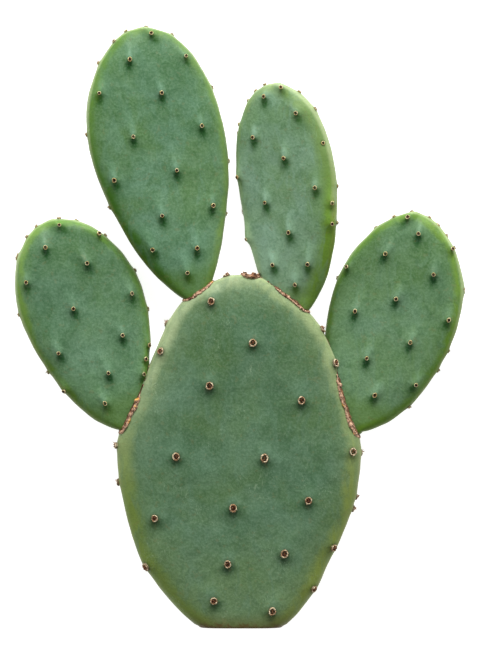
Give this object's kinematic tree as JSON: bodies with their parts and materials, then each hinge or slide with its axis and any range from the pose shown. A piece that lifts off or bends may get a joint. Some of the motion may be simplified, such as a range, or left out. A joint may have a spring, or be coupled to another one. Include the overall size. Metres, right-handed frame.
{
  "type": "prickly pear cactus pad cluster",
  "caption": "Cut prickly pear cactus branch: a broad basal pad with young oval pads grown on its rim through corky joints, dotted with felted areoles, lying on its back.",
  "frame": {"origin": "on the surface the plant lies on, under the middle of its bounding box", "axes": "+Y from the cut end to the tips of the young pads, +X to the right seen from the front, +Z out of the pads' front faces, which look up"},
  "size_m": [0.3082, 0.4132, 0.0398],
  "materials": {
    "basal_skin": "waxy blue-green plant skin of the old pad, satin, with a greyish bloom, fine speckle and paler yellow-green rims",
    "young_skin": "waxy fresh green plant skin of the young pads, satin, with a pale bloom on the faces and deeper green on the rims",
    "cork": "dry brown cork, matte, layered and cracked",
    "areole_felt": "short matted wool, cream to tan, matte",
    "glochids": "tuft of fine stiff red-brown bristles, satin",
    "cut_callus": "dried tan callus of the knife cut, matte, with darker edges"
  },
  "bodies": {
    "root": {"areole_back_01": "areole_felt", "areole_back_02": "areole_felt", "areole_back_03": "areole_felt", "areole_back_04": "areole_felt", "areole_back_05": "areole_felt", "areole_back_06": "areole_felt", "areole_back_07": "areole_felt", "areole_back_08": "areole_felt", "areole_back_09": "areole_felt", "areole_back_10": "areole_felt", "areole_back_11": "areole_felt", "areole_back_12": "areole_felt", "areole_back_13": "areole_felt", "areole_front_01": "areole_felt", "areole_front_02": "areole_felt", "areole_front_03": "areole_felt", "areole_front_04": "areole_felt", "areole_front_05": "areole_felt", "areole_front_06": "areole_felt", "areole_front_07": "areole_felt", "areole_front_08": "areole_felt", "areole_front_09": "areole_felt", "areole_front_10": "areole_felt", "areole_front_11": "areole_felt", "areole_front_12": "areole_felt", "areole_front_13": "areole_felt", "areole_front_14": "areole_felt", "areole_front_15": "areole_felt", "areole_rim_01": "areole_felt", "areole_rim_02": "areole_felt", "areole_rim_03": "areole_felt", "areole_rim_04": "areole_felt", "areole_rim_05": "areole_felt", "areole_rim_06": "areole_felt", "areole_rim_07": "areole_felt", "areole_rim_08": "areole_felt", "areole_rim_09": "areole_felt", "areole_rim_10": "areole_felt", "areole_rim_11": "areole_felt", "areole_rim_12": "areole_felt", "basal_pad": "basal_skin", "cork_lower_left": "cork", "cork_lower_right": "cork", "cork_upper_left": "cork", "cork_upper_right": "cork", "fruit_scar": "cork", "pad_lower_left": "young_skin", "pad_lower_right": "young_skin", "pad_upper_left": "young_skin", "pad_upper_right": "young_skin"}
  },
  "joints": []
}
